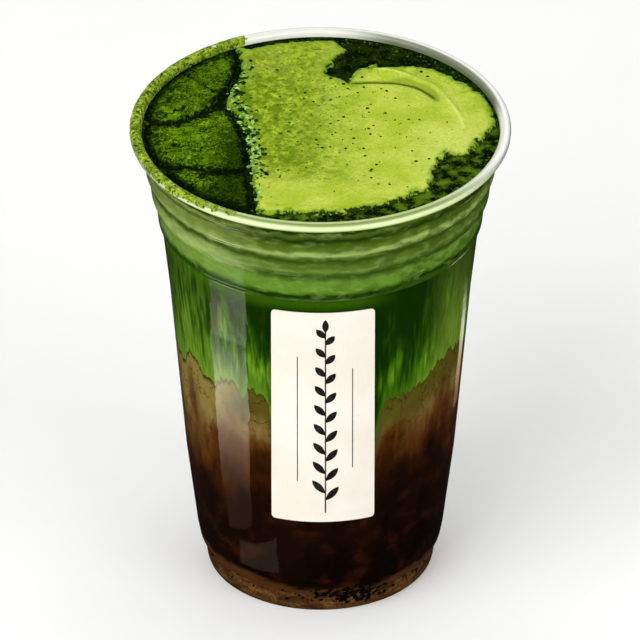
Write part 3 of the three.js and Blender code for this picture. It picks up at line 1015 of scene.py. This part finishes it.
def crust_material():
    material, finish, shader = new_material("crust")
    across, away, _ = finish.parts(finish.place)
    inside = finish.attribute("depth")
    lumps = finish.clouds(3, 0.42, 0.66)
    patches = finish.clouds(1.1, 0.4, 0.64, seed=4)
    powder = finish.clouds(0.5, 0.45, 0.66, seed=8)
    # Darker towards the foam and at its edges, with painted shade along the wall and in its creases
    slant = finish.plus(finish.minus(across, finish.times(away, 0.16)), finish.wave(lumps, 5))
    near_wall = finish.plus(finish.from_axis(), finish.wave(patches, 3))
    edge = finish.plus(inside, finish.wave(patches, 1.4))
    colours = finish.coats(
        finish.blend(lumps, srgb(34, 70, 0), srgb(106, 156, 6)),
        (finish.times(patches, 0.65), 34, 70, 0),
        (finish.times(finish.clouds(2, 0.52, 0.62, seed=51), 0.42), 132, 176, 24),
        (finish.times(powder, 0.65), 148, 188, 38),
        # The lobe at the back lies in painted shade of the rim
        (finish.span(away, 6, 18, 0, 0.28), 16, 42, 0),
        (finish.times(finish.clouds(0.6, 0.55, 0.63, seed=14), 0.8), 10, 30, 0),
        # Painted shade in the crust's cracks
        (finish.span(finish.attribute("groove_shading"), 0.2, 0.9, 0, 0.9), 6, 20, 0),
        (finish.span(slant, -28, -21.5, 0, 0.8), 10, 32, 1),
        # Painted shade along the wall
        (finish.span(near_wall, 40.2, 43.6, 0, 0.85), 8, 26, 0),
        (finish.span(edge, 1.5, 0.2, 0, 0.95), 5, 18, 0),
    )
    dress(finish, shader, colours, 0.8, 0, finish.plus(powder, patches), 0.16)
    return material


foam.data.materials.append(foam_material())
CRUST = crust_material()
for lobe in crusts:
    lobe.data.materials.append(CRUST)

# %% [markdown]
# ## Specks, crumbs and grounds
# Small loose things are joined meshes of real grains, each a little ball pressed flat and turned
# its own way. One grain is modelled and then copied, and the places come from a seeded draw, so
# that every run gives the same picture.

# %% Grain tools
def flat_piece(name, points, faces):
    """A new piece from points and faces."""
    mesh = bpy.data.meshes.new(name)
    mesh.from_pydata(points, [], faces)
    piece = bpy.data.objects.new(name, mesh)
    bpy.context.collection.objects.link(piece)
    return piece


def grain_shape(detail, dents, seed):
    """One grain, about 1 mm across, as points and faces."""
    bpy.ops.object.select_all(action="DESELECT")
    bpy.ops.mesh.primitive_ico_sphere_add(subdivisions=detail, radius=0.5)
    grain = bpy.context.object
    for vertex in grain.data.vertices:
        vertex.co *= 1 + dents * noise.noise(vertex.co * 2.5 + Vector((seed, 0, 0)))
    points = [vertex.co.copy() for vertex in grain.data.vertices]
    faces = [tuple(face.vertices) for face in grain.data.polygons]
    bpy.data.objects.remove(grain, do_unlink=True)
    return points, faces


def scatter(name, shape, spots):
    """Joins copies of a grain. A spot is (place, size, flatness, turn) in millimetres."""
    points, faces = shape
    all_points = []
    all_faces = []
    for where, size, flatness, angle in spots:
        first = len(all_points)
        cosine, sine = math.cos(angle), math.sin(angle)
        for point in points:
            x, y, z = point.x * size[0], point.y * size[1], point.z * flatness
            all_points.append((
                (where[0] + x * cosine - y * sine) * MM,
                (where[1] + x * sine + y * cosine) * MM,
                (where[2] + z) * MM,
            ))
        all_faces += [tuple(first + index for index in face) for face in faces]
    piece = flat_piece(name, all_points, all_faces)
    smooth(piece, 50)
    print(name, "has", len(spots), "grains")
    return piece


def top_of(piece, x, y):
    """Height of a raft at a place, or None where it isn't there."""
    hit, where, _, _ = piece.ray_cast(Vector((x * MM, y * MM, 0.2)), Vector((0, 0, -1)))
    if hit and where.z > (DRINK_HEIGHT + 0.3) * MM:
        return where.z / MM
    return None


def plain_material(name, dark, light, size, roughness):
    material, finish, shader = new_material(name)
    colours = finish.blend(finish.clouds(size, 0.38, 0.62), srgb(*dark), srgb(*light))
    dress(finish, shader, colours, roughness, 0.02, finish.clouds(size / 6, 0.35, 0.65, seed=5), 0.04)
    return material


# %% Powder specks on the foam
draw = random.Random(7)
spots = []
while len(spots) < 190:
    x = draw.gauss(4, 17)
    y = draw.gauss(2, 17)
    height = top_of(foam, x, y)
    if height is None or x > 30 and draw.random() < 0.7:
        continue
    size = 0.34 + 0.7 * draw.random() ** 2.2
    spots.append(((x, y, height), (size, size * draw.uniform(0.7, 1.0)), 0.35 * size, draw.uniform(0, TURN)))
specks = scatter("powder_specks", grain_shape(2, 0.25, 1), spots)
specks.data.materials.append(plain_material("powder_speck", (20, 40, 2), (58, 84, 8), 0.8, 0.8))

# %% Crumbs along the shore between crust and foam, and froth on the dark liquid
BREAK_LINE = [
    (-21.8, 36), (-21, 28), (-23.4, 21), (-23.8, 13), (-20.6, 4), (-19, -6), (-18.2, -16),
    (-18.2, -26), (-17, -39),
]


def along_line(line, share):
    at = share * (len(line) - 1)
    index = min(int(at), len(line) - 2)
    low, high = np.array(line[index]), np.array(line[index + 1])
    return low + (high - low) * (at - index)


def resting_height(x, y):
    tops = [top_of(piece, x, y) for piece in [foam] + crusts]
    tops = [height for height in tops if height is not None]
    return max(tops) if tops else DRINK_HEIGHT


def shore_spots(count, shift, spread, smallest, largest, chooser):
    spots = []
    for _ in range(count):
        share = chooser.triangular(0.0, 1.0, 0.62)
        aside = np.array((chooser.gauss(shift, spread), chooser.gauss(0, 0.8)))
        x, y = along_line(flowing(BREAK_LINE), share) + aside
        size = smallest + (largest - smallest) * chooser.random() ** 2
        stretch = chooser.uniform(1.0, 1.9)
        place_at = (x, y, resting_height(x, y) + 0.1 * size)
        spots.append((place_at, (size * stretch, size), 0.5 * size, chooser.uniform(0, TURN)))
    return spots


pale_crumbs = scatter("pale_crumbs", grain_shape(2, 0.5, 3), shore_spots(130, 1.7, 0.8, 0.45, 1.45, draw))
pale_crumbs.data.materials.append(plain_material("pale_crumb", (104, 152, 44), (176, 220, 118), 1.5, 0.8))
dark_crumbs = scatter("dark_crumbs", grain_shape(2, 0.5, 5), shore_spots(190, 2.2, 1.2, 0.3, 1.2, draw))
dark_crumbs.data.materials.append(plain_material("dark_crumb", (8, 26, 2), (34, 68, 6), 1.2, 0.85))

spots = []
while len(spots) < 240:
    angle = draw.uniform(0, TURN)
    radius = 45.4 - abs(draw.gauss(0, 1.6))
    x, y = radius * math.cos(angle), radius * math.sin(angle)
    if resting_height(x, y) > DRINK_HEIGHT:
        continue
    size = 0.25 + 0.7 * draw.random() ** 3
    spots.append(((x, y, DRINK_HEIGHT), (size, size), 0.5 * size, 0.0))
froth = scatter("froth", grain_shape(2, 0.1, 8), spots)
froth.data.materials.append(plain_material("froth", (24, 50, 3), (78, 110, 20), 1.0, 0.6))

# %% Grounds in the settled layer
spots = []
while len(spots) < 210:
    if draw.random() < 0.72:
        angle = math.radians(draw.gauss(14, 10))
        height = draw.gauss(5.2, 1.7)
    else:
        angle = draw.uniform(0, TURN)
        height = draw.gauss(4.4, 1.2)
    if not 1.8 < height < 9:
        continue
    radius = radius_at(INNER_PROFILE, height) + 0.1
    size = 0.55 + 0.85 * draw.random() ** 1.4
    where = (radius * math.sin(angle), -radius * math.cos(angle), height)
    spots.append((where, (size, size * 0.8), size * 0.8, angle))
grounds = scatter("coffee_grounds", grain_shape(2, 0.5, 9), spots)
grounds.data.materials.append(plain_material("coffee_ground", (3, 1, 0), (16, 7, 3), 0.8, 0.7))

# %% [markdown]
# ## Powder on the rim
# On the left, matcha powder has dried onto the lip and the top of the wall. It is a real crust,
# two tenths of a millimetre thick, so it is made as a strip that follows the curl, ragged at its
# edges and thicker in places.

# %% Rim powder
POWDER_FROM = 112
POWDER_TO = 262
POWDER_COLUMNS = 420
POWDER_ROWS = 34


def lip_point(share):
    """A point of the lip's skin and its outward direction, from inside the wall over the curl."""
    inner_run = 0.18
    if share < inner_run:
        height = 128.0 + (share / inner_run) * 0.6
        return (radius_at(INNER_PROFILE, height) + 0.25 * share / inner_run, height), (-1.0, 0.0)
    angle = math.radians(180 - (share - inner_run) / (1 - inner_run) * 215)
    direction = (math.cos(angle), math.sin(angle))
    return (CURL_CENTRE[0] + CURL_RADIUS * direction[0], CURL_CENTRE[1] + CURL_RADIUS * direction[1]), direction


def make_rim_powder():
    piece = new_grid("rim_powder", POWDER_COLUMNS, POWDER_ROWS)
    covers = []
    for vertex in piece.data.vertices:
        along = vertex.co.x + 0.5
        share = vertex.co.y + 0.5
        angle = math.radians(POWDER_FROM + along * (POWDER_TO - POWDER_FROM))
        (radius, height), (out, up) = lip_point(share)
        spot = Vector((radius * math.cos(angle), radius * math.sin(angle), height))
        cover = 0.8 + 0.8 * noise.noise(spot / 2.4) + 0.6 * noise.noise(spot / 0.9)
        cover -= 1.6 * max(0.0, 0.03 - along) / 0.03 + 1.7 * max(0.0, along - 0.72) / 0.28
        cover -= 1.5 * max(0.0, share - 0.72) / 0.28
        thickness = min(0.2, 0.03 + 0.09 * max(cover, 0.0))
        radius += out * thickness
        height += up * thickness
        vertex.co = (radius * math.cos(angle) * MM, radius * math.sin(angle) * MM, height * MM)
        covers.append(cover)
    cut_away(piece, [cover < 0 for cover in covers])
    top_face = max(piece.data.polygons, key=lambda face: face.center.z)
    if top_face.normal.z < 0:
        piece.data.flip_normals()
    thicken(piece, 0.08)
    smooth(piece, 60)
    print("rim_powder has", len(piece.data.polygons), "faces")
    return piece


def powder_material():
    material, finish, shader = new_material("rim_powder")
    lumps = finish.clouds(1.3, 0.36, 0.64, seed=6)
    dust = finish.clouds(0.6, 0.5, 0.68, seed=19)
    colours = finish.coats(
        finish.blend(lumps, srgb(94, 128, 10), srgb(180, 206, 60)),
        (finish.times(finish.clouds(4.5, 0.36, 0.62, seed=2), 0.6), 72, 106, 8),
        (finish.times(dust, 0.7), 204, 222, 100),
        (finish.times(finish.clouds(0.8, 0.53, 0.61, seed=12), 0.85), 24, 50, 2),
    )
    dress(finish, shader, colours, 0.8, 0.02, finish.plus(lumps, dust), 0.08)
    return material


rim_powder = make_rim_powder()
rim_powder.data.materials.append(powder_material())

# %% [markdown]
# ## The label
# A strip of white paper is bent round the cone of the wall, so its sides stay the same distance
# apart while the wall narrows. It is cut with small round corners and carries a plain printed
# sprig between two rules.

# %% The label
LABEL_WIDTH = 27.0
LABEL_BOTTOM = 30.9
LABEL_TOP = 98.4
LABEL_SHIFT = 0.7
LABEL_CORNER = 1.1
PAPER = 0.14
PAPER_GAP = 0.06


def wrap(piece, lift):
    """Bends a flat piece, across and up in millimetres, onto the wall."""
    for vertex in piece.data.vertices:
        point = vertex.co
        height = point.y
        wall = radius_at(WALL_PROFILE, height)
        place(point, (point.x + LABEL_SHIFT) / wall, wall + PAPER_GAP + lift + point.z, height)


def make_label():
    middle = (LABEL_BOTTOM + LABEL_TOP) / 2
    half_width = LABEL_WIDTH / 2
    half_height = (LABEL_TOP - LABEL_BOTTOM) / 2
    piece = new_grid("paper_label", 54, 96)
    for vertex in piece.data.vertices:
        point = vertex.co
        point.x *= LABEL_WIDTH
        point.y *= 2 * half_height
        over_x = max(0.0, abs(point.x) - half_width + LABEL_CORNER) / LABEL_CORNER
        over_y = max(0.0, abs(point.y) - half_height + LABEL_CORNER) / LABEL_CORNER
        shrink_x = over_x * (1 - math.sqrt(1 - over_y ** 2 / 2)) * LABEL_CORNER
        shrink_y = over_y * (1 - math.sqrt(1 - over_x ** 2 / 2)) * LABEL_CORNER
        point.x -= math.copysign(shrink_x, point.x)
        point.y += middle - math.copysign(shrink_y, point.y)
        point.z = 0.03 * noise.noise(Vector((point.x / 6, point.y / 9, 2)))
    wrap(piece, PAPER)
    if piece.data.polygons[0].normal.y > 0:
        piece.data.flip_normals()
    thicken(piece, PAPER)
    smooth(piece, 50)
    return piece


def paper_material():
    material, finish, shader = new_material("label_paper")
    fibres = finish.clouds(0.35, 0.3, 0.7, tall=3, seed=3)
    colours = finish.coats(
        finish.blend(finish.clouds(16, 0.35, 0.65), srgb(237, 229, 214), srgb(243, 236, 224)),
        (finish.times(fibres, 0.12), 232, 226, 212),
    )
    dress(finish, shader, colours, 0.8, 0.5, fibres, 0.03)
    return material


label = make_label()
label.data.materials.append(paper_material())

# %% Printed sprig and rules
INK = 0.03
INK_THICKNESS = 0.06


def leaf(centre, length, width, tilt, steps=9):
    """A pointed leaf as a closed outline round its stalk end."""
    points = []
    for side in (1, -1):
        shares = np.linspace(0, 1, steps)
        if side < 0:
            shares = shares[::-1][1:-1]
        for share in shares:
            across = side * width / 2 * math.sin(math.pi * share) ** 0.8
            forward = share * length
            points.append((
                centre[0] + forward * math.cos(tilt) - across * math.sin(tilt),
                centre[1] + forward * math.sin(tilt) + across * math.cos(tilt),
                0.0,
            ))
    return points


def bar(low, high, across, width, steps=24):
    """An upright bar in short steps, so that it can bend with the wall."""
    left = [(across - width / 2, y, 0.0) for y in np.linspace(low, high, steps)]
    right = [(across + width / 2, y, 0.0) for y in np.linspace(high, low, steps)]
    return left + right


def make_print():
    shapes = [bar(34, 94, 0.6, 0.34), bar(44, 84, -6.6, 0.22), bar(48, 80, 7.6, 0.22)]
    for number, height in enumerate(np.linspace(38, 88, 9)):
        length = 5.4 - 0.22 * number
        shapes.append(leaf((0.7, height), length, 1.9, math.radians(52)))
        shapes.append(leaf((0.5, height + 2.2), length, 1.9, math.radians(128)))
    shapes.append(leaf((0.6, 92), 4.2, 1.7, math.radians(90)))
    points = []
    faces = []
    for shape in shapes:
        faces.append(tuple(range(len(points), len(points) + len(shape))))
        points += shape
    piece = flat_piece("label_print", points, faces)
    wrap(piece, PAPER + INK)
    edit(piece)
    bpy.ops.mesh.select_all(action="SELECT")
    bpy.ops.mesh.quads_convert_to_tris()
    bpy.ops.mesh.normals_make_consistent(inside=False)
    leave_edit()
    for face in piece.data.polygons:
        if face.normal.y > 0:
            face.flip()
    thicken(piece, INK_THICKNESS)
    return piece


label_print = make_print()
label_print.data.materials.append(plain_material("ink", (20, 20, 18), (38, 38, 34), 1.4, 0.7))

# %% [markdown]
# ## Placing the pieces on the frame
# All pieces ride on the one body, and each finer twin hides the solid that it stands for. The
# grains and the powder are extra pieces, which only need a body to ride on.

# %% Riding and replacing
TWINS = {
    cup: ("cup", "clear_plastic"), label: ("label", "paper"), dregs: ("dregs", "dregs"),
    coffee: ("coffee", "coffee"), matcha: ("matcha", "matcha"), foam: ("foam", "foam"),
    crusts[0]: ("crust_back", "crust"), crusts[1]: ("crust_middle", "crust"),
    crusts[2]: ("crust_front", "crust"),
}
EXTRAS = {
    specks: "crust", pale_crumbs: "foam", dark_crumbs: "crust", froth: "foam",
    grounds: "dregs", rim_powder: "crust", label_print: "paper",
}
for piece, (node, slot) in TWINS.items():
    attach(piece, "root")
    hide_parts(node)
for piece, slot in EXTRAS.items():
    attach(piece, "root")
print(len(TWINS), "twins and", len(EXTRAS), "extra pieces")

# %% [markdown]
# ## Floor, light and camera
# The picture looks down from about 32 degrees through a long lens, so that the cup shows almost
# no perspective. The floor is plain and pale. It is hidden from reflections, because the wall of
# the cup would mirror it and the dark coffee would turn grey. The wall leans in towards its foot,
# so from above it mirrors the floor. Three cards that only reflections can see lie there and draw
# the upright shine of windows on the wall.

# %% Floor
def make_floor():
    floor = new_grid("floor", 8, 8, size=8)
    floor.visible_glossy = False
    material, finish, shader = new_material("pale_floor")
    tone = finish.clouds(60, 0.3, 0.7)
    finish.feed(shader["Base Color"], finish.blend(tone, srgb(249, 249, 248), srgb(251, 251, 250)))
    shader["Roughness"].default_value = 0.9
    shader["Emission Color"].default_value = (1, 1, 1, 1)
    shader["Emission Strength"].default_value = 0.06
    floor.data.materials.append(material)


make_floor()


# %% Lights
def soft_box(name, where, target, width, height, power):
    bpy.ops.object.light_add(type="AREA", location=where)
    lamp = bpy.context.object
    lamp.name = name
    lamp.data.shape = "RECTANGLE"
    lamp.data.size = width
    lamp.data.size_y = height
    lamp.data.energy = power
    lamp.visible_camera = False
    lamp.rotation_euler = (Vector(target) - Vector(where)).to_track_quat("-Z", "Y").to_euler()
    return lamp


soft_box("key", (-0.8, -0.9, 1.0), (0, 0, 0.08), 1.3, 1.3, 15)
soft_box("fill", (0.9, -0.8, 0.8), (0, 0, 0.07), 0.9, 0.9, 5)
over = soft_box("over", (0.1, 0.5, 1.3), (0, 0, 0.1), 1.0, 0.7, 3)
over.visible_glossy = False

CARD_HEIGHT = 1.5


def window_card(name, corners, near_strength, far_strength, start, fade_from, fade_to):
    """A card whose light grows from start on, and fades out again, away from the cup."""
    points = [(x * MM, y * MM, CARD_HEIGHT * MM) for x, y in corners]
    piece = flat_piece(name, points, [(0, 1, 2, 3)])
    material, finish, shader = new_material(name)
    reach = finish.from_axis()
    shader["Base Color"].default_value = (0, 0, 0, 1)
    warm = finish.blend(finish.span(reach, start, fade_from), srgb(255, 198, 152), srgb(242, 240, 216))
    finish.feed(shader["Emission Color"], warm)
    rising = finish.span(reach, start, fade_from, near_strength, far_strength)
    strength = finish.times(rising, finish.span(reach, fade_from, fade_to, 1, 0))
    finish.feed(shader["Emission Strength"], strength)
    piece.data.materials.append(material)
    for ray in ("camera", "diffuse", "shadow", "transmission"):
        setattr(piece, "visible_" + ray, False)


LEFT_WINDOW = [(-47, -20), (-41, -37), (-135, -97), (-150, -9)]
FOOT_WINDOW = [(-18, -38), (-31, -24), (-40, -27), (-27, -47)]
RIGHT_WINDOW = [(61, 62), (71, 49), (101, 92), (84, 110)]
window_card("left_window", LEFT_WINDOW, 0.15, 3.6, 66, 112, 138)
window_card("foot_window", FOOT_WINDOW, 0.24, 0.24, 38, 60, 80)
window_card("right_window", RIGHT_WINDOW, 0.3, 1.5, 86, 122, 137)


def studio_light():
    """Even light from all sides, which reflections see only as a pale sky overhead."""
    world = bpy.context.scene.world or bpy.data.worlds.new("studio")
    bpy.context.scene.world = world
    world.use_nodes = True
    finish = Finish(world.node_tree)
    background = world.node_tree.nodes["Background"]
    rays = finish.add("ShaderNodeLightPath")
    direction = finish.add("ShaderNodeTexCoord")
    up = finish.parts(direction.outputs["Generated"])[2]
    level = finish.add("ShaderNodeMix", data_type="FLOAT")
    finish.feed(level.inputs[0], rays.outputs["Is Glossy Ray"])
    finish.feed(level.inputs[2], 0.5)
    finish.feed(level.inputs[3], finish.span(up, -0.05, 0.5, 0.01, 0.5))
    background.inputs[0].default_value = (1, 1, 1, 1)
    finish.feed(background.inputs[1], level.outputs[0])


studio_light()

# %% Camera
ELEVATION = math.radians(32.2)
DISTANCE = 6.0
MIDDLE = Vector((-0.1 * MM, 0, 70.75 * MM))
PICTURE_PIXELS = 640
PIXEL = 0.2581
FIELD = PICTURE_PIXELS * PIXEL * MM
SENSOR = 36.0

bpy.ops.object.camera_add()
camera = bpy.context.object
camera.location = MIDDLE + DISTANCE * Vector((0, -math.cos(ELEVATION), math.sin(ELEVATION)))
camera.rotation_euler = (math.pi / 2 - ELEVATION, 0, 0)
camera.data.sensor_width = SENSOR
camera.data.lens = SENSOR * DISTANCE / FIELD
camera.data.clip_start = 0.01
camera.data.clip_end = 50.0
bpy.context.scene.camera = camera
bpy.context.scene.view_settings.view_transform = "Standard"
print("Lens:", round(camera.data.lens), "mm")
